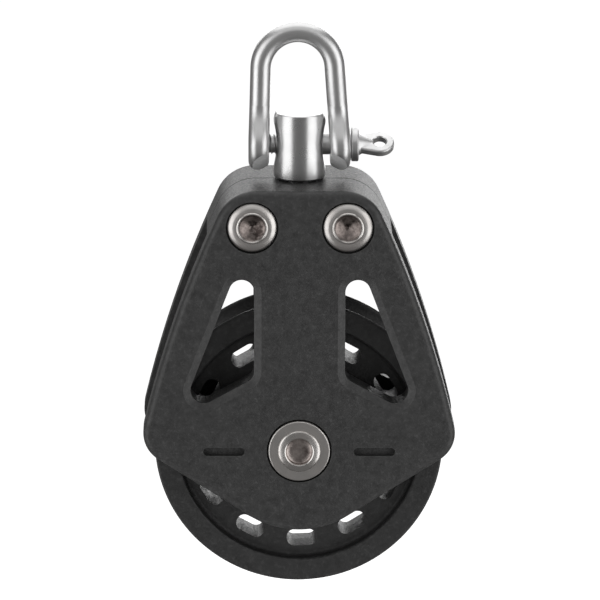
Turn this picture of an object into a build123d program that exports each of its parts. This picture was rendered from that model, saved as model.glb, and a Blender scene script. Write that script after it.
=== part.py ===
from build123d import *
import os
from math import acos, atan2, cos, hypot, pi, radians, sin

# A single swivel block for yacht running rigging: one ball-bearing sheave between two moulded
# half shells, hung from a stainless swivel post and a screw-pin shackle.
# Frame: millimetres, origin at the centre of the sheave, +Z up towards the shackle,
# +Y along the sheave axle from the front shell to the rear shell, +X to the right.

os.makedirs("parts", exist_ok=True)

# ---------------------------------------------------------------- driving dimensions
# clearances
fit_gap = 0.05  # radial gap between pieces that are riveted or pressed together
run_gap = 0.08  # radial gap of a pin or stem that turns or slides in its hole
recess_gap = 0.37  # gap around a washer in its counterbore
swivel_float = 0.25  # gap under the collar of the swivel post
thrust_gap = 0.1  # running gap between the two thrust faces of the swivel

# line and sheave
line_diameter = 11.0
line_clearance = 0.1
sheave_radius = 30.0
groove_depth = 5.2
rim_width = 1.25  # flat on each side of the groove
flange_height = 4.8
flange_step = 2.2  # how far the web lies below the face of the flange
hub_wall = 3.6
slot_count = 12
slot_margin = 2.2  # from the flange to the slots
slot_length = 6.2
slot_height = 3.5
slot_corner = 1.6
slot_phase = 1.85  # degrees past straight down
slot_draft = 2.0  # degrees, from each face to the shut-off line in mid-thickness
sheave_edge_round = 0.5
web_root_round = 0.9

# ball bearing
ball_diameter = 4.5
ball_count = 12
ball_gap = 0.16  # between neighbouring balls
ball_play = 0.06  # between a ball and each race
row_gap = 0.25  # from a row to the rib or to its retainer
rib_width = 1.2  # rib inside the sheave that parts the two rows
rib_height = 3.0
retainer_width = 1.1
retainer_inset = 0.1
retainer_seat = 1.1  # how far the retainer's seat is wider than the outer race
retainer_lap = 0.6  # gap between the retainer and the inner race
ring_chamfer = 0.25

# half shells
side_gap = 0.6  # between the sheave and each cheek
cheek_thickness = 6.4
throat_height = 12.0  # from the top of the sheave to the solid head
shoulder_half_width = 14.5
hip_overhang = 3.2  # how far the corner of the hips lies outside the sheave
hip_z = 0.35
side_bulge = 1.75
apex_inset = 9.2  # how far the point of the apex stays above the bottom of the sheave
shoulder_radius = 8.6
hip_radius = 6.7
apex_radius = 18.8
cheek_edge_round = 1.5
seam_chamfer = 0.2
throat_round = 2.2

# window in each cheek: a triangle with its top, outer and inner corners rounded
window_inner_x = 9.4
window_top_rise = 5.8  # above the throat, before rounding
window_side_margin = 8.1  # from the corner of the hips, before rounding
window_outer_z = 6.65
window_inner_z = 15.4
window_top_radius = 2.6
window_outer_radius = 2.8
window_inner_radius = 2.4
window_bevel_width = 1.5  # measured on the face of the cheek
window_bevel_depth = 0.7

# shallow moulded recess on each side of the axle
recess_x = 15.6
recess_z = -0.2
recess_length = 8.6
recess_height = 1.75
recess_depth = 1.2

# axle
axle_radius = 4.0
axle_head_lip = 0.4
axle_head_rise = 0.5
axle_dimple_radius = 2.8
axle_dimple_depth = 0.9
axle_washer_radius = 6.38
axle_washer_thickness = 1.9
axle_washer_rise = 0.35  # how far the washer stands above the cheek
washer_edge_round = 0.3

# head rivets
rivet_radius = 2.9
rivet_head_lip = 0.45
rivet_wall = 2.0  # between a rivet and the pocket of the swivel
rivet_edge = 2.08  # between a counterbore and the top of the head
rivet_head_rise = 0.22
rivet_dimple_radius = 2.75
rivet_dimple_depth = 1.7
rivet_washer_flange = 2.15
rivet_washer_thickness = 1.8
rivet_washer_rise = 0.45
rivet_washer_drop = 0.75  # from the crown of the dome to its outer edge

# swivel
post_radius = 5.41
post_rise = 6.9  # from the pin to the top of the post
post_base_chamfer = 0.4
post_top_chamfer = 0.2
dish_depth = 0.76  # the flanks are dished around the pin
dish_mid_depth = 0.55
dish_rim_depth = 0.05
dish_flat_radius = 1.8
dish_radius = 4.9
crown_mid_drop = 0.58  # how far the rounded flank has dropped at the top face
crown_end_drop = 1.6
crown_depth = 1.1
stem_radius = 3.4
stem_end = 0.5  # peened end of the stem below the nut
bush_wall = 1.2
bush_length = 5.0
bush_flange = 0.9
swivel_washer_thickness = 0.8
swivel_nut_height = 3.0
swivel_nut_flats = 8.0
pocket_gap = 0.35
pocket_floor_gap = 0.6
pocket_floor = 2.0  # wall between the pocket and the throat

# shackle
wire_radius = 2.135
bow_radius = 7.65
bow_rise = 16.0  # from the pin to the centre of the bow
bow_offset = -0.43  # the bow leans a little towards the threaded eye
jaw_gap = 0.9  # between the post and each eye
eye_radius = 5.4
eye_head_gap = 1.8
eye_flare = 8.4  # from the pin to where the eye has become the round wire
eye_sections = 5  # outlines that the upper half of the eye is lofted through
eye_flat = 0.235  # half of the flat left on the rim of the eye
wire_flat = 0.135

# screw pin
pin_radius = 2.15
thread_depth = 0.35
thread_start_x = -4.2
pin_end_inset = 0.3  # the end of the pin stays inside the threaded eye
collar_gap = 0.1
collar_radius = 3.58
collar_width = 1.55
collar_round = 0.35
neck_radius = 2.35
neck_length = 3.0  # the cone of the neck sinks into the flat of the tab here
neck_end_radius = 0.8
tab_lift = 58.0  # degrees that the face of the tab is turned up
tab_thickness = 1.7
tab_neck_half_width = 2.05  # at the collar
tab_length = 4.37  # from the collar to the hole
tab_radius = 3.0
tab_hole_radius = 1.4
tab_round = 0.45
tab_hole_chamfer = 0.2

# ---------------------------------------------------------------- sizes that follow
ball_radius = ball_diameter / 2
ball_row_y = rib_width / 2 + row_gap + ball_radius
pitch_radius = (ball_diameter + ball_gap) / (2 * sin(pi / ball_count))
inner_race_radius = pitch_radius - ball_radius - ball_play
outer_race_radius = pitch_radius + ball_radius + ball_play
retainer_radius = outer_race_radius + retainer_seat
retainer_bore = inner_race_radius + retainer_lap
retainer_depth = retainer_width + retainer_inset

groove_width = line_diameter + line_clearance
groove_arc_radius = ((groove_width / 2) ** 2 + groove_depth**2) / (2 * groove_depth)
groove_centre_radius = sheave_radius - groove_depth + groove_arc_radius
sheave_width = groove_width + 2 * rim_width
web_width = sheave_width - 2 * flange_step
hub_width = 2 * (ball_row_y + ball_radius + row_gap + retainer_depth)
hub_radius = retainer_radius + hub_wall
flange_inner_radius = sheave_radius - flange_height
slot_circle_radius = flange_inner_radius - slot_margin - slot_height / 2

inner_y = max(sheave_width, hub_width) / 2 + side_gap
face_y = inner_y + cheek_thickness
axle_head_radius = axle_radius + axle_head_lip
axle_washer_y = face_y + axle_washer_rise
rivet_head_radius = rivet_radius + rivet_head_lip
rivet_washer_radius = rivet_radius + rivet_washer_flange
rivet_washer_y = face_y + rivet_washer_rise

# the head is as tall as what it holds: from its underside up to the collar of the post
throat_z = sheave_radius + throat_height
pocket_floor_z = throat_z + pocket_floor
stem_bottom_z = pocket_floor_z + pocket_floor_gap
swivel_nut_z = stem_bottom_z + stem_end + swivel_nut_height
swivel_washer_z = swivel_nut_z + swivel_washer_thickness
pocket_top_z = swivel_washer_z + thrust_gap + bush_flange
head_top_z = pocket_top_z + bush_length
collar_z = head_top_z + swivel_float
pin_z = head_top_z + eye_head_gap + eye_radius
post_top_z = pin_z + post_rise
bow_z = pin_z + bow_rise

bush_radius = stem_radius + run_gap + bush_wall
nut_corner_radius = swivel_nut_flats / 2 / cos(radians(30))
pocket_radius = nut_corner_radius + pocket_gap
rivet_x = pocket_radius + rivet_wall + rivet_radius
rivet_z = head_top_z - rivet_edge - rivet_washer_radius - recess_gap

hip_half_width = sheave_radius + hip_overhang
apex_z = apex_inset - sheave_radius
window_top_z = throat_z + window_top_rise
window_outer_x = hip_half_width - window_side_margin

eye_half_spacing = post_radius + jaw_gap + wire_radius
eye_round = wire_radius - eye_flat
wire_end_round = wire_radius - wire_flat
pin_end_x = pin_end_inset - eye_half_spacing - wire_radius
thread_root_radius = pin_radius - thread_depth
collar_x = eye_half_spacing + wire_radius + collar_gap
neck_x = collar_x + collar_width
neck_end_x = neck_x + neck_length
tab_x = neck_x + tab_length

axle_line = Axis((0, 0, 0), (0, 1, 0))
pin_line = Axis((0, 0, pin_z), (1, 0, 0))
shell_face = Plane.XZ.offset(face_y)


# ---------------------------------------------------------------- helpers
def write(part, label):
    """Give a finished piece its name and write it to its own STEP file."""
    part.label = label
    export_step(part, f"parts/{label}.step")


def mirrored(piece, plane):
    """The same piece on the other side of a plane of symmetry."""
    with BuildPart() as copy:
        mirror(piece, about=plane)
    return copy.part


def corner(sketch, x, y):
    """The corner of a sketch that lies nearest to a point."""
    return sketch.vertices().sort_by_distance((x, y, 0))[0]


# ---------------------------------------------------------------- half shells
# Side view of a shell: flat head, slightly bulged sides, wide hips and a rounded apex.
with BuildSketch(Plane.XY) as shell_outline:
    with BuildLine():
        head_line = Line((0, head_top_z), (shoulder_half_width, head_top_z))
        side_line = SagittaArc(head_line @ 1, (hip_half_width, hip_z), side_bulge)
        Line(side_line @ 1, (0, apex_z))
        mirror(about=Plane.YZ)
    make_face()
    fillet(corner(shell_outline, 0, apex_z), apex_radius)
    for sign in (-1, 1):
        fillet(corner(shell_outline, sign * hip_half_width, hip_z), hip_radius)
        fillet(corner(shell_outline, sign * shoulder_half_width, head_top_z), shoulder_radius)

# The window on the right of a shell.
window_corners = (
    (window_inner_x, window_top_z, window_top_radius),
    (window_outer_x, window_outer_z, window_outer_radius),
    (window_inner_x, window_inner_z, window_inner_radius),
)
with BuildSketch(Plane.XY) as window:
    with BuildLine():
        Polyline([(x, z) for x, z, radius in window_corners], close=True)
    make_face()
    for x, z, radius in window_corners:
        fillet(corner(window, x, z), radius)

# Front half shell: a thick cheek plate whose head reaches back to the seam in the middle.
with BuildPart() as front_shell:
    with BuildSketch(shell_face):
        add(shell_outline.sketch)
    extrude(amount=-face_y)
    with BuildSketch(Plane.XZ.offset(inner_y)):
        with Locations((0, throat_z - head_top_z)):
            Rectangle(3 * hip_half_width, 2 * head_top_z)
    extrude(amount=-inner_y, mode=Mode.SUBTRACT)
    ceiling = front_shell.faces().filter_by(Axis.Z).sort_by(Axis.Z)[0]
    fillet(ceiling.edges().filter_by(Axis.Y), throat_round)
    fillet(front_shell.faces().sort_by(Axis.Y)[0].outer_wire().edges(), cheek_edge_round)
    chamfer(front_shell.faces().sort_by(Axis.Y)[-1].outer_wire().edges(), seam_chamfer)
    with BuildSketch(shell_face):
        add(window.sketch)
        mirror(window.sketch, about=Plane.YZ)
    extrude(amount=-cheek_thickness, mode=Mode.SUBTRACT)
    cheek = front_shell.faces().sort_by(Axis.Y)[0]
    window_edges = cheek.inner_wires().edges()
    chamfer(window_edges, window_bevel_width, window_bevel_depth, reference=cheek)
    with Locations(shell_face):
        CounterBoreHole(
            axle_radius + fit_gap,
            axle_washer_radius + recess_gap,
            axle_washer_thickness - axle_washer_rise,
        )
        with Locations((-rivet_x, rivet_z), (rivet_x, rivet_z)):
            CounterBoreHole(
                rivet_radius + fit_gap,
                rivet_washer_radius + recess_gap,
                rivet_washer_thickness - rivet_washer_rise,
            )
    with BuildSketch(shell_face):
        with Locations((-recess_x, recess_z), (recess_x, recess_z)):
            SlotOverall(recess_length, recess_height)
    extrude(amount=-recess_depth, mode=Mode.SUBTRACT)
    # one half of the bush's bore and of the pocket for the swivel nut
    with BuildSketch(Plane.XY.offset(pocket_top_z)):
        Circle(bush_radius + fit_gap)
    extrude(amount=bush_length, mode=Mode.SUBTRACT)
    with BuildSketch(Plane.XY.offset(pocket_floor_z)):
        Circle(pocket_radius)
    extrude(amount=pocket_top_z - pocket_floor_z, mode=Mode.SUBTRACT)
write(front_shell.part, "front_shell")
write(mirrored(front_shell.part, Plane.XZ), "rear_shell")

# ---------------------------------------------------------------- sheave
# Turned profile with radius along X and width along Y.
with BuildPart() as sheave:
    with BuildSketch(Plane.XY) as profile:
        for inner, outer, width in (
            (outer_race_radius, hub_radius, hub_width),
            (hub_radius, flange_inner_radius, web_width),
            (flange_inner_radius, sheave_radius, sheave_width),
        ):
            with Locations(((inner + outer) / 2, 0)):
                Rectangle(outer - inner, width)
        with Locations((groove_centre_radius, 0)):
            Circle(groove_arc_radius, mode=Mode.SUBTRACT)
        for sign in (-1, 1):
            with Locations((outer_race_radius, sign * hub_width / 2)):
                Rectangle(2 * retainer_seat, 2 * retainer_depth, mode=Mode.SUBTRACT)
        with Locations((outer_race_radius, 0)):
            Rectangle(2 * rib_height, rib_width)
        web_corners = [
            point
            for point in profile.vertices()
            if abs(abs(point.Y) - web_width / 2) < fit_gap and point.X > hub_radius - fit_gap
        ]
        fillet(web_corners, web_root_round)
        rim_corners = [
            point
            for point in profile.vertices()
            if point.X > sheave_radius - fit_gap
            or (point.X > flange_inner_radius - fit_gap and abs(point.Y) > sheave_width / 2 - fit_gap)
        ]
        fillet(rim_corners, sheave_edge_round)
    revolve(axis=axle_line)
    # Lightening slots, drafted from both faces so that the two halves of the mould meet in
    # the middle of the web.
    for sign in (-1, 1):
        with BuildSketch(Plane.XZ.offset(-sign * web_width / 2)):
            with PolarLocations(slot_circle_radius, slot_count, slot_phase - 90):
                RectangleRounded(slot_height, slot_length, slot_corner)
        extrude(amount=sign * web_width / 2, taper=slot_draft, mode=Mode.SUBTRACT)
write(sheave.part, "sheave")

# ---------------------------------------------------------------- ball bearing
# Sleeve that the shells clamp between them; the balls run on it.
with BuildPart() as inner_race:
    with BuildSketch(Plane.XZ.offset(inner_y)):
        Circle(inner_race_radius)
        Circle(axle_radius + fit_gap, mode=Mode.SUBTRACT)
    extrude(amount=-2 * inner_y)
    chamfer(inner_race.edges().filter_by(GeomType.CIRCLE), ring_chamfer)
write(inner_race.part, "inner_race")

# Loose balls, one row on each side of the rib inside the sheave.
with BuildPart() as front_ball_row:
    with Locations(Plane.XZ.offset(ball_row_y)):
        with PolarLocations(pitch_radius, ball_count):
            Sphere(ball_radius)
write(front_ball_row.part, "front_ball_row")
write(mirrored(front_ball_row.part, Plane.XZ), "rear_ball_row")

# Snap-in ring that keeps a row of balls in the sheave.
with BuildPart() as front_ball_retainer:
    with BuildSketch(Plane.XZ.offset(hub_width / 2 - retainer_inset)):
        Circle(retainer_radius - fit_gap)
        Circle(retainer_bore, mode=Mode.SUBTRACT)
    extrude(amount=-retainer_width)
    chamfer(front_ball_retainer.edges().filter_by(GeomType.CIRCLE), ring_chamfer)
write(front_ball_retainer.part, "front_ball_retainer")
write(mirrored(front_ball_retainer.part, Plane.XZ), "rear_ball_retainer")

# ---------------------------------------------------------------- axle and head rivets
# The axle: a solid pin with a rolled head at each end, hollowed by a shallow round dimple.
axle_head_y = axle_washer_y + axle_head_rise
axle_roll_x = (axle_head_radius + axle_dimple_radius) / 2
with BuildPart() as axle:
    with BuildSketch(Plane.XY):
        with BuildLine():
            shank = Polyline(
                (0, 0),
                (axle_radius, 0),
                (axle_radius, axle_washer_y),
                (axle_head_radius, axle_washer_y),
            )
            roll = TangentArc(shank @ 1, (axle_roll_x, axle_head_y), tangent=(0, 1))
            lip = Line(roll @ 1, (axle_dimple_radius, axle_head_y))
            dimple_bottom = (0, axle_head_y - axle_dimple_depth)
            dimple = TangentArc(dimple_bottom, lip @ 1, tangent=(1, 0))
            Line(dimple_bottom, (0, 0))
        make_face()
    revolve(axis=axle_line)
    mirror(about=Plane.XZ)
write(axle.part, "axle")

with BuildPart() as front_axle_washer:
    with BuildSketch(Plane.XZ.offset(axle_washer_y)):
        Circle(axle_washer_radius)
        Circle(axle_radius + fit_gap, mode=Mode.SUBTRACT)
    extrude(amount=-axle_washer_thickness)
    outer_face = front_axle_washer.faces().sort_by(Axis.Y)[0]
    fillet(outer_face.outer_wire().edges(), washer_edge_round)
write(front_axle_washer.part, "front_axle_washer")
write(mirrored(front_axle_washer.part, Plane.XZ), "rear_axle_washer")

# Head rivet: its heads are spread by a pointed punch, which leaves a cone in each.
rivet_head_y = rivet_washer_y + rivet_head_rise
rivet_roll_x = (rivet_head_radius + rivet_dimple_radius) / 2
for side_name, side in (("left", -1), ("right", 1)):
    rivet_plane = Plane((side * rivet_x, 0, rivet_z))
    with BuildPart() as rivet:
        with BuildSketch(rivet_plane):
            with BuildLine():
                shank = Polyline(
                    (0, 0),
                    (rivet_radius, 0),
                    (rivet_radius, rivet_washer_y),
                    (rivet_head_radius, rivet_washer_y),
                )
                roll = TangentArc(shank @ 1, (rivet_roll_x, rivet_head_y), tangent=(0, 1))
                lip = Line(roll @ 1, (rivet_dimple_radius, rivet_head_y))
                Polyline(lip @ 1, (0, rivet_head_y - rivet_dimple_depth), (0, 0))
            make_face()
        revolve(axis=Axis(rivet_plane.origin, (0, 1, 0)))
        mirror(about=Plane.XZ)
    write(rivet.part, f"{side_name}_head_rivet")

    # Domed washer under the front head, and its twin under the rear one.
    with BuildPart() as rivet_washer:
        with BuildSketch(rivet_plane):
            with BuildLine():
                base_y = rivet_washer_y - rivet_washer_thickness
                base = Polyline(
                    (rivet_radius + fit_gap, rivet_washer_y),
                    (rivet_radius + fit_gap, base_y),
                    (rivet_washer_radius, base_y),
                    (rivet_washer_radius, rivet_washer_y - rivet_washer_drop),
                )
                crown = TangentArc((rivet_head_radius, rivet_washer_y), base @ 1, tangent=(1, 0))
                Line(base @ 0, crown @ 0)
            make_face()
        revolve(axis=Axis(rivet_plane.origin, (0, 1, 0)))
    write(rivet_washer.part, f"rear_{side_name}_rivet_washer")
    write(mirrored(rivet_washer.part, Plane.XZ), f"front_{side_name}_rivet_washer")

# ---------------------------------------------------------------- swivel
# Post: round bar with its flanks dished around the shackle pin and rounded over at the top.
dish_profile = (
    (post_radius - dish_depth, dish_flat_radius),
    (post_radius - dish_mid_depth, (dish_flat_radius + dish_radius) / 2),
    (post_radius - dish_rim_depth, dish_radius),
)
with BuildPart() as swivel_post:
    with BuildSketch(Plane.XY.offset(collar_z)):
        Circle(post_radius)
    extrude(amount=post_top_z - collar_z)
    chamfer(swivel_post.edges().sort_by(Axis.Z)[0], post_base_chamfer)
    chamfer(swivel_post.edges().sort_by(Axis.Z)[-1], post_top_chamfer)
    for side in (-1, 1):
        beyond_x = side * 2 * post_radius
        # above the pin the dished flank swells out to a shoulder and rounds over into the crown
        with BuildSketch(Plane.XY.offset(pin_z)):
            with BuildLine():
                dish = ThreePointArc(*[(side * x, radius) for x, radius in dish_profile])
                crown = ThreePointArc(
                    dish @ 1,
                    (side * (post_radius - crown_mid_drop), post_rise),
                    (side * (post_radius - crown_end_drop), post_rise + crown_depth),
                )
                Polyline(
                    crown @ 1,
                    (side * (post_radius - crown_end_drop), post_rise + 2 * post_radius),
                    (beyond_x, post_rise + 2 * post_radius),
                    (beyond_x, 0),
                    (side * (post_radius - dish_depth), 0),
                    dish @ 0,
                )
            make_face()
        revolve(axis=pin_line, revolution_arc=180, mode=Mode.SUBTRACT)
        # below the pin the dish runs straight out into the round collar
        with BuildSketch(Plane.XY.offset(pin_z)):
            with BuildLine():
                dish = ThreePointArc(*[(side * x, radius) for x, radius in dish_profile])
                Polyline(
                    dish @ 1,
                    (beyond_x, dish_radius + post_radius),
                    (beyond_x, 0),
                    (side * (post_radius - dish_depth), 0),
                    dish @ 0,
                )
            make_face()
        revolve(axis=pin_line, revolution_arc=-180, mode=Mode.SUBTRACT)
    with BuildSketch(Plane.XY.offset(stem_bottom_z)):
        Circle(stem_radius)
    extrude(amount=collar_z - stem_bottom_z)
    with BuildSketch(Plane.YZ.offset(-post_radius)):
        with Locations((0, pin_z)):
            Circle(pin_radius + run_gap)
    extrude(amount=2 * post_radius, mode=Mode.SUBTRACT)
write(swivel_post.part, "swivel_post")

# Flanged bush, clamped in the head; its flange takes the pull of the nut.
with BuildPart() as swivel_bush:
    with BuildSketch(Plane.XY.offset(pocket_top_z - bush_flange)):
        Circle(pocket_radius - fit_gap)
    extrude(amount=bush_flange)
    with BuildSketch(Plane.XY.offset(pocket_top_z)):
        Circle(bush_radius)
    extrude(amount=bush_length)
    with BuildSketch(Plane.XY.offset(pocket_top_z - bush_flange)):
        Circle(stem_radius + run_gap)
    extrude(amount=bush_flange + bush_length, mode=Mode.SUBTRACT)
write(swivel_bush.part, "swivel_bush")

with BuildPart() as swivel_washer:
    with BuildSketch(Plane.XY.offset(swivel_nut_z)):
        Circle(nut_corner_radius)
        Circle(stem_radius + fit_gap, mode=Mode.SUBTRACT)
    extrude(amount=swivel_washer_thickness)
write(swivel_washer.part, "swivel_washer")

with BuildPart() as swivel_nut:
    with BuildSketch(Plane.XY.offset(swivel_nut_z)):
        RegularPolygon(nut_corner_radius, 6)
        Circle(stem_radius + fit_gap, mode=Mode.SUBTRACT)
    extrude(amount=-swivel_nut_height)
write(swivel_nut.part, "swivel_nut")


# ---------------------------------------------------------------- shackle
def tangent_point(foot_x, side):
    """Where a leg that stands on an eye at foot_x meets the bow without a kink."""
    across = foot_x - bow_offset
    down = pin_z - bow_z
    half_angle = acos(bow_radius / hypot(across, down))
    angle = atan2(down, across) + side * half_angle
    return Vector(bow_offset + bow_radius * cos(angle), 0, bow_z + bow_radius * sin(angle))


with BuildPart() as shackle:
    ends = []
    for side in (-1, 1):
        foot = Vector(side * eye_half_spacing, 0, pin_z)
        shoulder = tangent_point(foot.X, side)
        leg = (shoulder - foot).normalized()
        upright = Vector(0, 0, 1)
        ends.append((foot + leg * eye_flare, shoulder))
        # upper half of the eye: flat and upright at the pin, round where the wire begins, and
        # without a kink at either end
        for step in range(eye_sections):
            share = step / (eye_sections - 1)
            flare = (1 - share) ** 2 * (1 + 2 * share)
            half_width = wire_radius + (eye_radius - wire_radius) * flare
            rounding = eye_round * (1 - share) + wire_end_round * share
            direction = upright * (1 - share) + leg * share
            across = direction.cross(Vector(0, -1, 0))
            centre = foot + leg * (share * eye_flare)
            with BuildSketch(Plane(origin=centre, x_dir=across, z_dir=direction)):
                RectangleRounded(2 * wire_radius, 2 * half_width, rounding)
        loft()
        # lower half: the same section turned half round the pin
        with BuildSketch(Plane(origin=foot)):
            RectangleRounded(2 * wire_radius, 2 * eye_radius, eye_round)
            with Locations((0, -eye_radius)):
                Rectangle(4 * wire_radius, 2 * eye_radius, mode=Mode.SUBTRACT)
        revolve(axis=pin_line, revolution_arc=-180)
    with BuildLine() as bow:
        left_leg = Line(ends[0][0], ends[0][1])
        top = ThreePointArc(
            left_leg @ 1, (bow_offset, 0, bow_z + bow_radius), ends[1][1]
        )
        Line(top @ 1, ends[1][0])
    with BuildSketch(Plane(origin=bow.line @ 0, z_dir=bow.line % 0)):
        Circle(wire_radius)
    sweep(path=bow.line)
    with BuildSketch(Plane.YZ):
        with Locations((0, pin_z)):
            Circle(pin_radius + run_gap)
    extrude(amount=2 * eye_half_spacing, both=True, mode=Mode.SUBTRACT)
write(shackle.part, "shackle")

# ---------------------------------------------------------------- screw pin
tab_face = Plane(
    origin=(0, 0, pin_z),
    x_dir=(1, 0, 0),
    z_dir=(0, -cos(radians(tab_lift)), sin(radians(tab_lift))),
)
with BuildPart() as shackle_pin:
    # flat of the tab: a trapezium from the collar that runs into the round end
    with BuildSketch(tab_face):
        with Locations((neck_x + collar_round, 0)):
            Rectangle(2 * collar_round, 2 * tab_neck_half_width)
        with Locations((tab_x, 0)):
            Circle(tab_radius)
        make_hull()
        with Locations((tab_x, 0)):
            Circle(tab_hole_radius, mode=Mode.SUBTRACT)
    extrude(amount=tab_thickness / 2, both=True)
    for face in shackle_pin.faces().filter_by(Axis((0, 0, 0), tab_face.z_dir)):
        fillet(face.outer_wire().edges(), tab_round)
    for face in shackle_pin.faces().filter_by(Axis((0, 0, 0), tab_face.z_dir)):
        chamfer(face.inner_wires().edges(), tab_hole_chamfer)
    with BuildSketch(tab_face):
        with BuildLine():
            Polyline(
                (pin_end_x, 0),
                (pin_end_x, thread_root_radius),
                (thread_start_x, thread_root_radius),
                (thread_start_x, pin_radius),
                (collar_x, pin_radius),
                (collar_x, collar_radius),
                (neck_x, collar_radius),
                (neck_x, neck_radius),
                (neck_end_x, neck_end_radius),
                (neck_end_x, 0),
                close=True,
            )
        make_face()
    revolve(axis=pin_line)
    rim = shackle_pin.edges().filter_by(GeomType.CIRCLE).group_by(SortBy.RADIUS)[-1]
    fillet(rim, collar_round)
write(shackle_pin.part, "shackle_pin")
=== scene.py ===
# %% [markdown]
# # A swivel sheave block for a sailing boat
#
# The block carries one line over a plastic wheel, the sheave, which turns on two rows of balls
# between two moulded half shells. A stainless post lets the body turn under a screw-pin shackle.
# The solid parts, their sizes and their joints come packed from the CAD model. Here they get
# their finishes, the small details that only matter to the eye, a camera and light.

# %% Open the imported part
import math

import bpy
from mathutils import Matrix, Vector


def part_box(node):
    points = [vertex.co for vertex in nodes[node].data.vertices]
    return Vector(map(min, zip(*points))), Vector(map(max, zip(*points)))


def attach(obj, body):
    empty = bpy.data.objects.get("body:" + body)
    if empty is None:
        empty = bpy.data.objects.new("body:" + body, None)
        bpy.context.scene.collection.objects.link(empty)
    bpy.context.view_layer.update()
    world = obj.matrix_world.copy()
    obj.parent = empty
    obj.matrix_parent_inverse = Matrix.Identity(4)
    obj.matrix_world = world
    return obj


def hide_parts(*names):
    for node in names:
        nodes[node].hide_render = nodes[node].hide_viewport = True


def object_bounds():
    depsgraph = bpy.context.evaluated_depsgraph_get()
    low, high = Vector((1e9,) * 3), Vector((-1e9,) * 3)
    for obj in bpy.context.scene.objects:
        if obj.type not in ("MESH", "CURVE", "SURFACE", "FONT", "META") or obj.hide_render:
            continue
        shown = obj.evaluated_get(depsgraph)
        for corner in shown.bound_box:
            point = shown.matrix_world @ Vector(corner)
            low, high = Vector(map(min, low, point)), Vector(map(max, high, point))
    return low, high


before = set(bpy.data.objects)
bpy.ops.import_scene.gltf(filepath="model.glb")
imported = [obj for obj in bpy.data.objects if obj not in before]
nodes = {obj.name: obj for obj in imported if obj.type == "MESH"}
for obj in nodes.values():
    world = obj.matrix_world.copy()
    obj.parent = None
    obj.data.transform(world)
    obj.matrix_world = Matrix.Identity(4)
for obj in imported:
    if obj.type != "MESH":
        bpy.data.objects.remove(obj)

cad_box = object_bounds()

# %% [markdown]
# Sizes are metres. A millimetre is a handier word for a part that fits in a hand, so it gets a
# name, and every place that the CAD model already holds is read from the frame, not typed again.

# %% Places read from the frame
MM = 0.001


def centre_of(name):
    low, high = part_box(name)
    return (low + high) / 2


def size_of(name):
    low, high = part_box(name)
    return high - low


pin_z = centre_of("shackle_pin").z
sheave_across = size_of("sheave").x
print("sheave", round(sheave_across / MM, 1), "mm across, pin", round(pin_z / MM, 1), "mm up")

# %% [markdown]
# ## Camera
#
# A long lens from a little over a metre away keeps the two cheeks almost the same size, as in a
# catalogue picture. The camera stands slightly above the axle, so the top of the head, the back
# of the shackle and the walls of the slots all show. It leans by a hair, as a hand-set one does.

# %% Camera
CAMERA_PLACE = Vector((-17.06, -1139.2, 308.69)) * MM
CAMERA_DOWN = math.radians(13.80)
CAMERA_TO_RIGHT = math.radians(0.87)
CAMERA_LEAN = math.radians(0.25)
CAMERA_LENS = 337.7  # millimetres, in front of a 36 mm sensor

camera = bpy.data.objects.new("camera", bpy.data.cameras.new("camera"))
bpy.context.scene.collection.objects.link(camera)
aim = Matrix.Rotation(-CAMERA_TO_RIGHT, 4, "Z") @ Matrix.Rotation(math.pi / 2 - CAMERA_DOWN, 4, "X")
camera.matrix_world = Matrix.Translation(CAMERA_PLACE) @ aim @ Matrix.Rotation(CAMERA_LEAN, 4, "Z")
camera.data.lens = CAMERA_LENS
camera.data.sensor_width = 36
camera.data.clip_start = 0.05
camera.data.clip_end = 30
bpy.context.scene.camera = camera
print("camera looks down by", round(math.degrees(CAMERA_DOWN), 1), "degrees")

# %% [markdown]
# ## Floor
#
# The block hangs from its shackle, well above a sheet of white paper that glows a little, like a
# light table. The paper is kept out of reflections: polished steel would mirror it as a white
# glare, and what gives round steel its shape is a dark room with a few bright windows in it.

# %% Floor
FLOOR_DROP = 450 * MM
FLOOR_SIZE = 12

floor_z = cad_box[0].z - FLOOR_DROP
bpy.ops.object.select_all(action="DESELECT")
bpy.ops.mesh.primitive_plane_add(size=FLOOR_SIZE, location=(0, 0, floor_z))
floor = bpy.context.object
floor.name = "floor"
floor.visible_glossy = False
paper = bpy.data.materials.new("floor_paper")
paper.use_nodes = True
paper_shader = paper.node_tree.nodes["Principled BSDF"]
paper_shader.inputs["Base Color"].default_value = (0.8, 0.8, 0.8, 1)
paper_shader.inputs["Roughness"].default_value = 0.9
paper_shader.inputs["Emission Color"].default_value = (1, 1, 1, 1)
paper_shader.inputs["Emission Strength"].default_value = 0.9
floor.data.materials.append(paper)
print("floor", round(FLOOR_DROP / MM), "mm below the sheave")

# %% [markdown]
# ## Light
#
# Two tall soft boxes stand in front, one at each side of the camera. A round steel post mirrors
# them as two white stripes with a dark band between, which is how the eye knows that it is round
# and polished. A weaker one leans in from above the camera, a large one hangs overhead, and a wide
# one and a small low one stand behind, so the head, the bow of the shackle and every rounded edge
# of the black plastic catch a rim of light. The room itself is dim.

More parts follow.
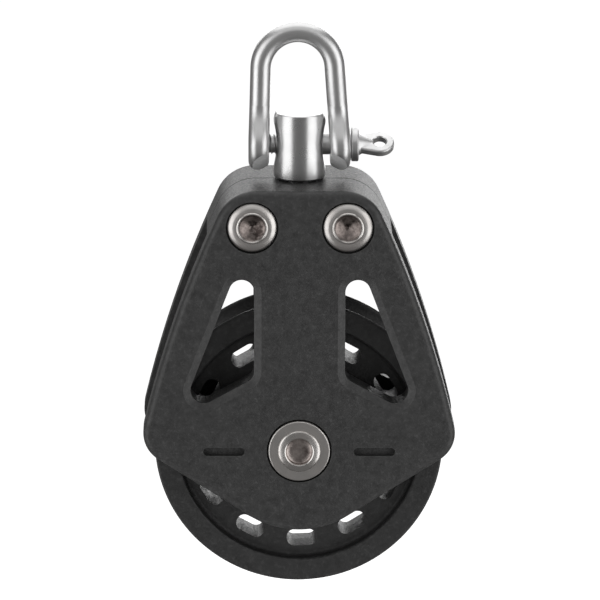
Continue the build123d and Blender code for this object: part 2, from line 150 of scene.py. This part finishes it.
# %% Studio
ROOM_GLOW = 0.16
room = bpy.data.worlds.new("studio_room")
bpy.context.scene.world = room
room.use_nodes = True
room_tree = room.node_tree
dim_walls = room_tree.nodes["Background"]
dim_walls.inputs["Color"].default_value = (1, 0.99, 0.98, 1)
dim_walls.inputs["Strength"].default_value = ROOM_GLOW
white_backdrop = room_tree.nodes.new("ShaderNodeBackground")
white_backdrop.inputs["Strength"].default_value = 1
seen_or_mirrored = room_tree.nodes.new("ShaderNodeMixShader")
ray_kind = room_tree.nodes.new("ShaderNodeLightPath")
room_tree.links.new(ray_kind.outputs["Is Camera Ray"], seen_or_mirrored.inputs["Fac"])
room_tree.links.new(dim_walls.outputs["Background"], seen_or_mirrored.inputs[1])
room_tree.links.new(white_backdrop.outputs["Background"], seen_or_mirrored.inputs[2])
room_surface = room_tree.nodes["World Output"].inputs["Surface"]
room_tree.links.new(seen_or_mirrored.outputs["Shader"], room_surface)
bpy.context.scene.view_settings.view_transform = "Standard"


def soft_box(name, place, target, width, height, glow):
    """A rectangle of light that looks at target; glow is how bright its face is."""
    lamp = bpy.data.lights.new(name, "AREA")
    lamp.shape = "RECTANGLE"
    lamp.size = width
    lamp.size_y = height
    lamp.energy = glow * math.pi * width * height
    box = bpy.data.objects.new(name, lamp)
    bpy.context.scene.collection.objects.link(box)
    box.location = place
    box.rotation_euler = (Vector(target) - Vector(place)).to_track_quat("-Z", "Y").to_euler()
    box.visible_camera = False
    return box


block_middle = (0, 0, 30 * MM)
SIDE_BOX_TURN = math.radians(58)
SIDE_BOX_DISTANCE = 1.0
SIDE_BOX_HEIGHT = -0.05
SIDE_BOX_SIZE = (0.85, 1.4)
SIDE_BOX_GLOW = 1.5
for side, name in ((-1, "soft_box_left"), (1, "soft_box_right")):
    place = (
        side * SIDE_BOX_DISTANCE * math.sin(SIDE_BOX_TURN),
        -SIDE_BOX_DISTANCE * math.cos(SIDE_BOX_TURN),
        SIDE_BOX_HEIGHT,
    )
    soft_box(name, place, (0, 0, SIDE_BOX_HEIGHT), *SIDE_BOX_SIZE, SIDE_BOX_GLOW)
# name, place, width, height, glow
for name, place, width, height, glow in (
    ("soft_box_front", (0, -0.5, 0.75), 1.2, 0.7, 0.5),
    ("soft_box_above", (0, 0.3, 0.9), 1.3, 1.1, 1.3),
    ("soft_box_behind", (0, 1.5, 0.55), 2.0, 0.7, 2.2),
    ("soft_box_rim", (0.5, 1.3, -0.05), 0.7, 0.6, 2.0),
):
    soft_box(name, place, block_middle, width, height, glow)

# %% [markdown]
# ## A short way to write node trees
#
# A material is a small machine of nodes. One helper adds a node, sets it up and joins it, so each
# finish below reads as a list of what it does. An effect that several finishes share is a group
# with named inputs: it is built once and used with other values each time.

# %% Node helpers
def put(tree, kind, inputs=None, **settings):
    """Adds a shader node to a tree. An input given as a socket is linked, any other is a value."""
    made = tree.nodes.new("ShaderNode" + kind)
    for name, value in settings.items():
        setattr(made, name, value)
    for socket, value in (inputs or {}).items():
        if isinstance(value, bpy.types.NodeSocket):
            tree.links.new(value, made.inputs[socket])
        else:
            made.inputs[socket].default_value = value
    return made


def work_out(tree, operation, first, second):
    """One arithmetic step: its result as a socket."""
    return put(tree, "Math", {0: first, 1: second}, operation=operation).outputs[0]


def stretch(tree, value, low, high, to_low=0.0, to_high=1.0):
    """Maps low..high of a value to to_low..to_high and holds it there."""
    inputs = {"Value": value, "From Min": low, "From Max": high, "To Min": to_low, "To Max": to_high}
    return put(tree, "MapRange", inputs).outputs["Result"]


def blend_colours(tree, share, first, second):
    """Goes from the first colour to the second as share goes from 0 to 1."""
    mix = put(tree, "Mix", {"Factor": share}, data_type="RGBA")
    for socket, colour in ((mix.inputs[6], first), (mix.inputs[7], second)):
        if isinstance(colour, bpy.types.NodeSocket):
            tree.links.new(colour, socket)
        else:
            socket.default_value = colour
    return mix.outputs[2]


def new_group(name, inputs, outputs):
    """A node group with named sockets. Inputs are name: default, and outputs name: type."""
    group = bpy.data.node_groups.new(name, "ShaderNodeTree")
    for label, value in inputs.items():
        kind = "Float" if isinstance(value, (int, float)) else "Color" if len(value) == 4 else "Vector"
        socket = group.interface.new_socket(label, in_out="INPUT", socket_type="NodeSocket" + kind)
        socket.default_value = value
    for label, kind in outputs.items():
        group.interface.new_socket(label, in_out="OUTPUT", socket_type="NodeSocket" + kind)
    entry = group.nodes.new("NodeGroupInput").outputs
    leave = group.nodes.new("NodeGroupOutput").inputs
    return group, entry, leave


def use(tree, group, inputs):
    """Places a group in a tree with its own values."""
    placed = put(tree, "Group", node_tree=group)
    for label, value in inputs.items():
        if isinstance(value, bpy.types.NodeSocket):
            tree.links.new(value, placed.inputs[label])
        else:
            placed.inputs[label].default_value = value
    return placed.outputs


def new_finish(name, metallic=0.0):
    """A material with its shader and the object's own coordinates ready to use."""
    finish = bpy.data.materials.new(name)
    finish.use_nodes = True
    tree = finish.node_tree
    shader = tree.nodes["Principled BSDF"]
    shader.inputs["Metallic"].default_value = metallic
    place = put(tree, "TexCoord").outputs["Object"]
    return finish, tree, shader, place


def raise_bumps(tree, shader, height, depth):
    """Turns a height from 0 to 1 into bumps of that depth in metres."""
    bump = put(tree, "Bump", {"Height": height, "Distance": depth})
    tree.links.new(bump.outputs["Normal"], shader.inputs["Normal"])
    return bump


# %% [markdown]
# ## Turned pieces
#
# The axle and the two head rivets are bars whose ends were rolled over their washers by a spinning
# tool. That leaves a crest round a cup. The CAD model has them as plain heads, so they are turned
# again here: a ring of edges is extruded along the axle and scaled, step by step, as a lathe tool
# would travel, from the middle of the front cup to the middle of the rear one.

# %% Helpers for modelling
def select_none():
    bpy.ops.object.select_all(action="DESELECT")


def settle(piece, smooth_angle=math.radians(35)):
    """Puts the object's place into its mesh, points its faces out and shades it."""
    select_none()
    piece.select_set(True)
    bpy.context.view_layer.objects.active = piece
    bpy.ops.object.transform_apply(location=True, rotation=True, scale=True)
    bpy.ops.object.mode_set(mode="EDIT")
    bpy.ops.mesh.select_all(action="SELECT")
    bpy.ops.mesh.remove_doubles(threshold=0.0001 * MM)
    bpy.ops.mesh.normals_make_consistent(inside=False)
    bpy.ops.object.mode_set(mode="OBJECT")
    bpy.ops.object.shade_smooth_by_angle(angle=smooth_angle)


def turned_bar(name, centre, half_length, profile, sides=96):
    """A bar along Y. The profile is (radius, depth below the end) from the cup to the shank."""
    front = [(radius, depth - half_length) for radius, depth in profile]
    rear = [(radius, half_length - depth) for radius, depth in reversed(profile)]
    rings = front + rear
    first_radius, first_y = rings[0]
    select_none()
    bpy.ops.mesh.primitive_circle_add(
        vertices=sides,
        radius=first_radius,
        location=(centre.x, centre.y + first_y, centre.z),
        rotation=(math.pi / 2, 0, 0),
    )
    bar = bpy.context.object
    bar.name = name
    bpy.ops.object.mode_set(mode="EDIT")
    bpy.ops.mesh.select_all(action="SELECT")
    for (radius_before, y_before), (radius, y) in zip(rings, rings[1:]):
        bpy.ops.mesh.extrude_region_move(TRANSFORM_OT_translate={"value": (0, y - y_before, 0)})
        widen = radius / radius_before
        middle = (centre.x, centre.y + y, centre.z)
        bpy.ops.transform.resize(value=(widen, 1, widen), center_override=middle)
    bpy.ops.mesh.select_all(action="SELECT")
    bpy.ops.mesh.fill_holes(sides=0)
    bpy.ops.object.mode_set(mode="OBJECT")
    settle(bar)
    print(name, len(bar.data.polygons), "faces")
    return bar


# %% [markdown]
# The axle's cup has a flat floor, where a punch held it. The rivets' cups are cones, left by the
# point of the tool. Both have a rounded crest, which is what catches the light as a bright ring.

# %% Axle and head rivets
AXLE_PROFILE = [
    (0.30, 1.06), (1.60, 1.02), (2.35, 0.92), (2.60, 0.74), (2.70, 0.34), (2.82, 0.10),
    (3.02, 0.0), (3.25, 0.05), (3.70, 0.19), (4.05, 0.27), (4.26, 0.38), (4.38, 0.56),
    (4.40, 0.80), (4.00, 0.84),
]
RIVET_PROFILE = [
    (0.12, 1.62), (0.45, 1.42), (1.60, 0.86), (2.40, 0.50), (2.68, 0.32), (2.80, 0.12),
    (2.95, 0.0), (3.12, 0.03), (3.27, 0.16), (3.34, 0.34), (3.35, 0.55), (2.90, 0.62),
]


def in_metres(profile):
    return [(radius * MM, depth * MM) for radius, depth in profile]


turned_bars = {}
for node_name, piece_name, profile in (
    ("axle", "axle_bar", AXLE_PROFILE),
    ("left_head_rivet", "left_rivet_bar", RIVET_PROFILE),
    ("right_head_rivet", "right_rivet_bar", RIVET_PROFILE),
):
    half_length = size_of(node_name).y / 2
    bar = turned_bar(piece_name, centre_of(node_name), half_length, in_metres(profile))
    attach(bar, "housing")
    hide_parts(node_name)
    turned_bars[node_name] = bar

# %% [markdown]
# ## Ends of the shackle
#
# The eyes were forged, and their lower ends were then cut off aslant, in front and behind, so each
# ends in a dull flat with a sharp ridge round it. The bow comes from the CAD model: a copy of its
# mesh is merged, and Bisect takes a slice off each of the four corners and closes the cut.

# %% Cut the four corners
CUT_DEPTH = 1.1 * MM
CUT_INWARD, CUT_ENDWARD, CUT_DOWN = 0.38, 0.55, 0.74
EYE_TOP = 2 * MM  # above the pin, where the slice can no longer reach

eye_top_z = pin_z + EYE_TOP

cut_shackle = bpy.data.objects.new("cut_shackle", nodes["shackle"].data.copy())
bpy.context.scene.collection.objects.link(cut_shackle)
select_none()
cut_shackle.select_set(True)
bpy.context.view_layer.objects.active = cut_shackle
bpy.ops.mesh.customdata_custom_splitnormals_clear()
cut_shackle.data.materials.clear()
bpy.context.tool_settings.mesh_select_mode = (False, False, True)
bpy.ops.object.mode_set(mode="EDIT")
bpy.ops.mesh.select_all(action="SELECT")
bpy.ops.mesh.remove_doubles(threshold=0.0001 * MM)
bpy.ops.object.mode_set(mode="OBJECT")
flats = []
for side in (-1, 1):
    for end in (-1, 1):
        outward = Vector((-side * CUT_INWARD, end * CUT_ENDWARD, -CUT_DOWN)).normalized()
        mesh = cut_shackle.data
        corners = [v.co for v in mesh.vertices if side * v.co.x > 0 and v.co.z < pin_z]
        furthest = max(outward.dot(corner) for corner in corners)
        bpy.ops.object.mode_set(mode="EDIT")
        bpy.ops.mesh.select_all(action="DESELECT")
        bpy.ops.object.mode_set(mode="OBJECT")
        for face in mesh.polygons:
            face.select = side * face.center.x > 0 and face.center.z < eye_top_z
        bpy.ops.object.mode_set(mode="EDIT")
        bpy.ops.mesh.bisect(
            plane_co=outward * (furthest - CUT_DEPTH),
            plane_no=outward,
            use_fill=True,
            clear_outer=True,
            threshold=0.00001 * MM,
        )
        bpy.ops.object.mode_set(mode="OBJECT")
        flats.append(outward)
select_none()
settle(cut_shackle, math.radians(30))
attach(cut_shackle, "shackle")
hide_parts("shackle")
print("shackle cut at", len(flats), "corners,", len(cut_shackle.data.polygons), "faces")

# %% [markdown]
# ## Thread of the screw pin
#
# The far end of the pin screws into the left eye. Its ridge is a triangle swept along a screw
# line, which the Screw modifier does in one step: as many turns as the thread is long, one pitch
# each. The ridge sinks a little into the core, so no gap shows at its foot.

# %% Thread
THREAD_PITCH = 0.8 * MM
THREAD_ROOT = 1.74 * MM
THREAD_RIDGE = 0.27 * MM  # from the middle of the triangle to its corners
THREAD_START_X = -10.1 * MM
THREAD_END_X = -4.35 * MM
THREAD_STEPS = 32  # in each turn

thread_turns = (THREAD_END_X - THREAD_START_X) / THREAD_PITCH
select_none()
bpy.ops.mesh.primitive_circle_add(
    vertices=3,
    radius=THREAD_RIDGE,
    location=(THREAD_START_X, 0, pin_z + THREAD_ROOT + THREAD_RIDGE / 2),
    rotation=(math.pi / 2, 0, 0),
)
pin_thread = bpy.context.object
pin_thread.name = "pin_thread"
bpy.ops.object.transform_apply(location=True, rotation=True, scale=True)
bpy.context.scene.cursor.location = (0, 0, pin_z)
bpy.ops.object.origin_set(type="ORIGIN_CURSOR")
wind = pin_thread.modifiers.new("wind", "SCREW")
wind.axis = "X"
wind.angle = 2 * math.pi * thread_turns
wind.screw_offset = THREAD_END_X - THREAD_START_X
wind.steps = round(THREAD_STEPS * thread_turns)
wind.render_steps = wind.steps
bpy.ops.object.modifier_apply(modifier=wind.name)
bpy.ops.object.mode_set(mode="EDIT")
bpy.ops.mesh.select_all(action="SELECT")
bpy.ops.mesh.fill_holes(sides=0)
bpy.ops.object.mode_set(mode="OBJECT")
settle(pin_thread)
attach(pin_thread, "screw_pin")
print("thread", round(thread_turns, 1), "turns,", len(pin_thread.data.polygons), "faces")

# %% [markdown]
# ## Shared effects
#
# **Moulded grain.** Glass-filled nylon comes out of a polished mould with a skin that is never
# quite even: short fibres lie just under the surface as lighter flecks, and the melt leaves soft
# clouds where it flowed. Three noises at three sizes give the pinhead grain, the flecks and the
# clouds.

# %% Moulded grain
moulded_grain, entry, leave = new_group(
    "moulded_grain",
    {
        "Place": (0, 0, 0),
        "Colour": (0.05, 0.05, 0.05, 1),
        "Fleck Colour": (0.1, 0.1, 0.1, 1),
        "Grain per Metre": 2600.0,
        "Fleck Amount": 0.4,
        "Cloud Amount": 0.2,
        "Roughness": 0.45,
        "Roughness Spread": 0.15,
    },
    {"Colour": "Color", "Roughness": "Float", "Height": "Float"},
)
grain_size = entry["Grain per Metre"]
fleck_size = work_out(moulded_grain, "MULTIPLY", grain_size, 0.5)
cloud_size = work_out(moulded_grain, "MULTIPLY", grain_size, 0.2)
noise_inputs = {"Vector": entry["Place"], "Scale": grain_size, "Detail": 3.0, "Roughness": 0.6}
fine = put(moulded_grain, "TexNoise", noise_inputs).outputs["Fac"]
noise_inputs = {"Vector": entry["Place"], "Scale": fleck_size, "Detail": 4.0, "Roughness": 0.7}
flecks = put(moulded_grain, "TexNoise", noise_inputs).outputs["Fac"]
noise_inputs = {"Vector": entry["Place"], "Scale": cloud_size, "Detail": 4.0, "Roughness": 0.7}
clouds = put(moulded_grain, "TexNoise", noise_inputs).outputs["Fac"]
fleck_mask = stretch(moulded_grain, flecks, 0.52, 0.70)
fleck_share = work_out(moulded_grain, "MULTIPLY", fleck_mask, entry["Fleck Amount"])
flecked = blend_colours(moulded_grain, fleck_share, entry["Colour"], entry["Fleck Colour"])
cloud_swing = stretch(moulded_grain, clouds, 0.3, 0.7, -1.0, 1.0)
cloud_step = work_out(moulded_grain, "MULTIPLY", cloud_swing, entry["Cloud Amount"])
cloud_value = work_out(moulded_grain, "ADD", cloud_step, 1.0)
clouded = put(moulded_grain, "HueSaturation", {"Color": flecked, "Value": cloud_value}).outputs["Color"]
fine_swing = stretch(moulded_grain, fine, 0.3, 0.7, -1.0, 1.0)
spread = work_out(moulded_grain, "MULTIPLY", fine_swing, entry["Roughness Spread"])
fleck_height = work_out(moulded_grain, "MULTIPLY", flecks, 0.6)
moulded_grain.links.new(clouded, leave["Colour"])
moulded_grain.links.new(work_out(moulded_grain, "ADD", spread, entry["Roughness"]), leave["Roughness"])
moulded_grain.links.new(work_out(moulded_grain, "ADD", fine, fleck_height), leave["Height"])
print("group", moulded_grain.name)

# %% [markdown]
# ** Edge wear and painted highlight.** A corner that rubs on a deck or in a pocket goes lighter and smoother first. The
# Bevel node rounds the normal near an edge, and how far the rounded normal has turned away from
# the true one tells how close the edge is. A noise breaks the line up, because wear is patchy.
# On the plastics this lightening stands for wear. On the sawn flats of the shackle it is a painted
# highlight along the sharp ridge, which has no bevel of its own to catch the light.

# %% Edge wear and painted highlight
edge_wear_and_highlight, entry, leave = new_group(
    "edge_wear_and_highlight",
    {"Place": (0, 0, 0), "Width": 0.4 * MM, "Patches per Metre": 900.0, "Amount": 0.5},
    {"Mask": "Float"},
)
rounded = put(edge_wear_and_highlight, "Bevel", {"Radius": entry["Width"]}, samples=4).outputs["Normal"]
true_normal = put(edge_wear_and_highlight, "NewGeometry").outputs["Normal"]
both_normals = {0: rounded, 1: true_normal}
turned = put(edge_wear_and_highlight, "VectorMath", both_normals, operation="DOT_PRODUCT").outputs["Value"]
noise_inputs = {"Vector": entry["Place"], "Scale": entry["Patches per Metre"], "Detail": 4.0}
patch_noise = put(edge_wear_and_highlight, "TexNoise", noise_inputs).outputs["Fac"]
patches = stretch(edge_wear_and_highlight, patch_noise, 0.35, 0.65, 0.3, 1.0)
near_edge = stretch(edge_wear_and_highlight, turned, 0.985, 0.85)
patchy_edge = work_out(edge_wear_and_highlight, "MULTIPLY", near_edge, patches)
wear_and_highlight_mask = work_out(edge_wear_and_highlight, "MULTIPLY", patchy_edge, entry["Amount"])
edge_wear_and_highlight.links.new(wear_and_highlight_mask, leave["Mask"])
print("group", edge_wear_and_highlight.name)

# %% [markdown]
# **Handled steel.** Polished stainless is one colour of metal, but fingers, salt and the polishing
# wheel leave it patchy: some places are a little warmer and duller. The same noise drives colour
# and roughness, because a stain is both, and a much finer one gives the wheel's faint ripple.

# %% Handled steel
handled_steel, entry, leave = new_group(
    "handled_steel",
    {
        "Place": (0, 0, 0),
        "Colour": (0.6, 0.6, 0.6, 1),
        "Stain Colour": (0.4, 0.38, 0.36, 1),
        "Stains per Metre": 220.0,
        "Stain Amount": 0.3,
        "Roughness": 0.2,
        "Roughness Spread": 0.1,
        "Ripples per Metre": 2500.0,
    },
    {"Colour": "Color", "Roughness": "Float", "Height": "Float"},
)
stain_size = entry["Stains per Metre"]
noise_inputs = {"Vector": entry["Place"], "Scale": stain_size, "Detail": 6.0, "Roughness": 0.62}
stain_noise = put(handled_steel, "TexNoise", noise_inputs).outputs["Fac"]
stains = stretch(handled_steel, stain_noise, 0.38, 0.68)
noise_inputs = {"Vector": entry["Place"], "Scale": entry["Ripples per Metre"], "Detail": 3.0}
ripples = put(handled_steel, "TexNoise", noise_inputs).outputs["Fac"]
stain_share = work_out(handled_steel, "MULTIPLY", stains, entry["Stain Amount"])
stained = blend_colours(handled_steel, stain_share, entry["Colour"], entry["Stain Colour"])
spread = work_out(handled_steel, "MULTIPLY", stains, entry["Roughness Spread"])
handled_steel.links.new(stained, leave["Colour"])
handled_steel.links.new(work_out(handled_steel, "ADD", spread, entry["Roughness"]), leave["Roughness"])
handled_steel.links.new(ripples, leave["Height"])
print("group", handled_steel.name)

# %% [markdown]
# **Turning marks.** A lathe tool leaves fine rings round the axis of what it cuts. The distance
# from the axis goes through a sine, with a little noise so that no two rings are alike. The axis
# is local Y, because every rivet of the block lies along it; a Mapping node brings the piece's
# centre to the origin first.

# %% Turning marks
turning_marks, entry, leave = new_group(
    "turning_marks",
    {"Place": (0, 0, 0), "Rings per Metre": 6000.0, "Waver": 2.0},
    {"Height": "Float", "From Axis": "Float"},
)
apart = put(turning_marks, "SeparateXYZ", {0: entry["Place"]})
flat = put(turning_marks, "CombineXYZ", {"X": apart.outputs["X"], "Z": apart.outputs["Z"]}).outputs[0]
from_axis = put(turning_marks, "VectorMath", {0: flat}, operation="LENGTH").outputs["Value"]
noise_inputs = {"Vector": entry["Place"], "Scale": 700.0, "Detail": 2.0}
waver_noise = put(turning_marks, "TexNoise", noise_inputs).outputs["Fac"]
waver = work_out(turning_marks, "MULTIPLY", waver_noise, entry["Waver"])
rings_out = work_out(turning_marks, "MULTIPLY", from_axis, entry["Rings per Metre"])
phase = work_out(turning_marks, "ADD", rings_out, waver)
ring = put(turning_marks, "Math", {0: phase}, operation="SINE").outputs[0]
turning_marks.links.new(stretch(turning_marks, ring, -1.0, 1.0), leave["Height"])
turning_marks.links.new(from_axis, leave["From Axis"])
print("group", turning_marks.name)

# %% [markdown]
# ## Plastics
#
# The shells and the sheave are black glass-filled nylon, dull and grainy. The race and the ball
# retainers are acetal, which is smoother, and the balls are white acetal. One function makes them
# all, because they differ only in colour and in how strong the grain, the clouds and the wear are.

# %% Moulded plastic finish
def moulded_plastic(name, colour, fleck_colour, grain, flecks, clouds, roughness, depth, wear_and_highlight_amount=0.3):
    """Black or white moulded plastic, with grain, flecks, clouds and rubbed edges."""
    finish, tree, shader, place = new_finish(name)
    skin = use(tree, moulded_grain, {
        "Place": place,
        "Colour": (*colour, 1),
        "Fleck Colour": (*fleck_colour, 1),
        "Grain per Metre": grain,
        "Fleck Amount": flecks,
        "Cloud Amount": clouds,
        "Roughness": roughness,
    })
    wear_and_highlight_mask = use(tree, edge_wear_and_highlight, {"Place": place, "Amount": wear_and_highlight_amount})["Mask"]
    rubbed_colour = blend_colours(tree, wear_and_highlight_mask, skin["Colour"], (*fleck_colour, 1))
    tree.links.new(rubbed_colour, shader.inputs["Base Color"])
    tree.links.new(skin["Roughness"], shader.inputs["Roughness"])
    raise_bumps(tree, shader, skin["Height"], depth)
    return finish


shell_nylon = moulded_plastic(
    "shell_nylon", (0.024, 0.024, 0.024), (0.075, 0.075, 0.075), 2600, 0.3, 0.34, 0.48, 0.04 * MM
)
sheave_nylon = moulded_plastic(
    "sheave_nylon", (0.018, 0.018, 0.018), (0.07, 0.07, 0.07), 2200, 0.3, 0.3, 0.48, 0.04 * MM
)
race_acetal = moulded_plastic(
    "race_acetal", (0.02, 0.02, 0.021), (0.05, 0.05, 0.05), 3000, 0.15, 0.1, 0.3, 0.008 * MM, 0.1
)
retainer_acetal = moulded_plastic(
    "retainer_acetal", (0.03, 0.03, 0.032), (0.07, 0.07, 0.07), 3000, 0.2, 0.1, 0.36, 0.01 * MM
)
ball_acetal = moulded_plastic(
    "ball_acetal", (0.74, 0.74, 0.70), (0.85, 0.85, 0.82), 1500, 0.3, 0.05, 0.22, 0.003 * MM, 0.0
)
print("plastics: shell, sheave, race, retainer, balls")

# %% [markdown]
# ## Steels
#
# All the metal is stainless. What tells one piece from another is how it was finished: the bow was
# tumbled to a soft satin, the pin was cast, the nut is as bought, and the slanting flats on the
# shackle were cut and left, so they are pitted and part of their light is scattered, not mirrored.
# A pale painted highlight runs along the sharp ridge round each flat.

# %% Handled steel finish
def steel(
    name, colour, stain_colour, stains, roughness, ripple_depth,
    ripples=2500.0, spread=0.12, wear_and_highlight_amount=0.0, metallic=1.0,
):
    """Stainless steel with stains and ripples; also gives its parts, for finishes built on it."""
    finish, tree, shader, place = new_finish(name, metallic)
    skin = use(tree, handled_steel, {
        "Place": place,
        "Colour": (*colour, 1),
        "Stain Colour": (*stain_colour, 1),
        "Stain Amount": stains,
        "Roughness": roughness,
        "Roughness Spread": spread,
        "Ripples per Metre": ripples,
    })
    steel_colour = skin["Colour"]
    # On the sawn flats this blends the edges to pale steel: a painted highlight along the ridge.
    if wear_and_highlight_amount:
        wear_and_highlight_mask = use(tree, edge_wear_and_highlight, {"Place": place, "Width": 0.35 * MM, "Amount": wear_and_highlight_amount})["Mask"]
        steel_colour = blend_colours(tree, wear_and_highlight_mask, steel_colour, (*RIDGE_HIGHLIGHT_STEEL, 1))
    tree.links.new(steel_colour, shader.inputs["Base Color"])
    tree.links.new(skin["Roughness"], shader.inputs["Roughness"])
    bump = raise_bumps(tree, shader, skin["Height"], ripple_depth)
    return finish, skin, bump, place


# Pale steel for the painted highlight along the ridges of the sawn flats.
RIDGE_HIGHLIGHT_STEEL = (0.95, 0.95, 0.95)
WARM_STEEL = (0.66, 0.64, 0.62)
BROWN_STAIN = (0.38, 0.33, 0.31)
COOL_STEEL = (0.66, 0.66, 0.66)
PALE_STEEL = (0.72, 0.72, 0.72)
GREY_STAIN = (0.45, 0.45, 0.45)
SAWN_STEEL = (0.85, 0.85, 0.85)
DARK_PIT = (0.4, 0.4, 0.4)

post_steel, _, post_bump, post_place = steel(
    "post_steel", COOL_STEEL, GREY_STAIN, 0.2, 0.27, 0.0005 * MM, spread=0.04
)
shackle_steel = steel("shackle_steel", PALE_STEEL, GREY_STAIN, 0.2, 0.34, 0.0012 * MM, spread=0.06)[0]
# The full edge amount here paints a highlight along the ridge round each sawn flat.
sawn_steel = steel(
    "sawn_steel", SAWN_STEEL, DARK_PIT, 0.6, 0.5, 0.03 * MM, ripples=4500.0, wear_and_highlight_amount=1.0, metallic=0.4
)[0]
pin_steel = steel("pin_steel", PALE_STEEL, GREY_STAIN, 0.25, 0.36, 0.004 * MM)[0]
nut_steel = steel("nut_steel", WARM_STEEL, BROWN_STAIN, 0.3, 0.3, 0.004 * MM)[0]
print("steels: post, shackle, pin, nut")

# %% [markdown]
# The post alone was turned from bar and left as the tool cut it. Its rings lie level, so the same
# noise is squeezed along the post's height and drawn out round it.

# %% Rings round the post
RING_STRETCH = (0.02, 0.02, 1)
post_tree = post_steel.node_tree
drawn_out = put(post_tree, "Mapping", {"Vector": post_place, "Scale": RING_STRETCH}).outputs[0]
noise_inputs = {"Vector": drawn_out, "Scale": 5000.0, "Detail": 3.0, "Roughness": 0.7}
level_rings = put(post_tree, "TexNoise", noise_inputs).outputs["Fac"]
ring_bump = put(post_tree, "Bump", {"Height": level_rings, "Distance": 0.002 * MM})
post_tree.links.new(ring_bump.outputs["Normal"], post_bump.inputs["Normal"])
print("post has level rings")

# %% [markdown]
# **Rolled heads and washers.** These are turned or stamped, so rings run round their middles. The
# floor of each cup was crushed by the tool and never polished: there the steel is duller, browner
# and rougher. The distance from the axis, which the turning marks already know, tells where.

# %% Turned steel finish
def turned_steel(name, centre, roughness, rings, ring_depth, cup_radius=0.0, cup_colours=None):
    """Steel with rings round a centre; the floor of its cup goes from one colour to the other."""
    finish, skin, bump, place = steel(name, WARM_STEEL, BROWN_STAIN, 0.35, roughness, 0.003 * MM)
    tree = finish.node_tree
    shader = tree.nodes["Principled BSDF"]
    centred = put(tree, "Mapping", {"Vector": place, "Location": -Vector(centre)}).outputs[0]
    marks = use(tree, turning_marks, {"Place": centred, "Rings per Metre": rings})
    rings_bump = put(tree, "Bump", {"Height": marks["Height"], "Distance": ring_depth})
    tree.links.new(rings_bump.outputs["Normal"], bump.inputs["Normal"])
    if cup_radius:
        in_cup = stretch(tree, marks["From Axis"], cup_radius * 1.04, cup_radius * 0.94)
        noise_inputs = {"Vector": place, "Scale": CRUSH_SCALE, "Detail": 5.0, "Roughness": 0.68}
        crush = put(tree, "TexNoise", noise_inputs).outputs["Fac"]
        dark, light = cup_colours
        floor_colour = blend_colours(tree, stretch(tree, crush, 0.36, 0.66), (*dark, 1), (*light, 1))
        cup_colour = blend_colours(tree, in_cup, skin["Colour"], floor_colour)
        tree.links.new(cup_colour, shader.inputs["Base Color"])
        dulled = put(tree, "Mix", {"Factor": in_cup, "A": skin["Roughness"], "B": CUP_ROUGHNESS})
        tree.links.new(dulled.outputs["Result"], shader.inputs["Roughness"])
    return finish


CRUSH_SCALE = 480.0
CUP_ROUGHNESS = 0.36
AXLE_CUP = 2.72 * MM, ((0.2, 0.165, 0.155), (0.56, 0.50, 0.47))
RIVET_CUP = 2.78 * MM, ((0.05, 0.04, 0.037), (0.36, 0.31, 0.29))

for name, bar in turned_bars.items():
    cup = AXLE_CUP if name == "axle" else RIVET_CUP
    bar_steel = turned_steel(name + "_steel", centre_of(name), 0.22, 9000.0, 0.002 * MM, *cup)
    bar.data.materials.append(bar_steel)
bar_finishes = {name: bar.data.materials[0] for name, bar in turned_bars.items()}
washer_finishes = {
    name: turned_steel(name + "_steel", centre_of(name), 0.34, 11000.0, 0.006 * MM)
    for name in nodes
    if name.endswith("axle_washer") or name.endswith("rivet_washer")
}
pin_thread.data.materials.append(pin_steel)
cut_shackle.data.materials.append(shackle_steel)
cut_shackle.data.materials.append(sawn_steel)
SAME_WAY = 0.9999  # two directions whose dot product is above this are taken as one
for face in cut_shackle.data.polygons:
    face.material_index = int(any(face.normal.dot(flat) > SAME_WAY for flat in flats))
print("sawn faces", sum(face.material_index for face in cut_shackle.data.polygons))
print("turned and stamped:", len(bar_finishes) + len(washer_finishes))

# %% [markdown]
# ## Finishes on the solids
#
# A solid from the CAD model keeps its mesh, and only the material in its slot is changed. A table
# of names shows at a glance which piece has which finish, and the last check says if one is missed.

# %% Give every solid its finish
node_finishes = {
    "front_shell": shell_nylon,
    "rear_shell": shell_nylon,
    "sheave": sheave_nylon,
    "inner_race": race_acetal,
    "swivel_bush": race_acetal,
    "front_ball_retainer": retainer_acetal,
    "rear_ball_retainer": retainer_acetal,
    "front_ball_row": ball_acetal,
    "rear_ball_row": ball_acetal,
    "swivel_post": post_steel,
    "swivel_washer": nut_steel,
    "swivel_nut": nut_steel,
    "shackle": shackle_steel,
    "shackle_pin": pin_steel,
    **bar_finishes,
    **washer_finishes,
}
for name, finish in node_finishes.items():
    nodes[name].material_slots[0].material = finish
assert set(node_finishes) == set(nodes)
print(len(node_finishes), "solids have their finish")
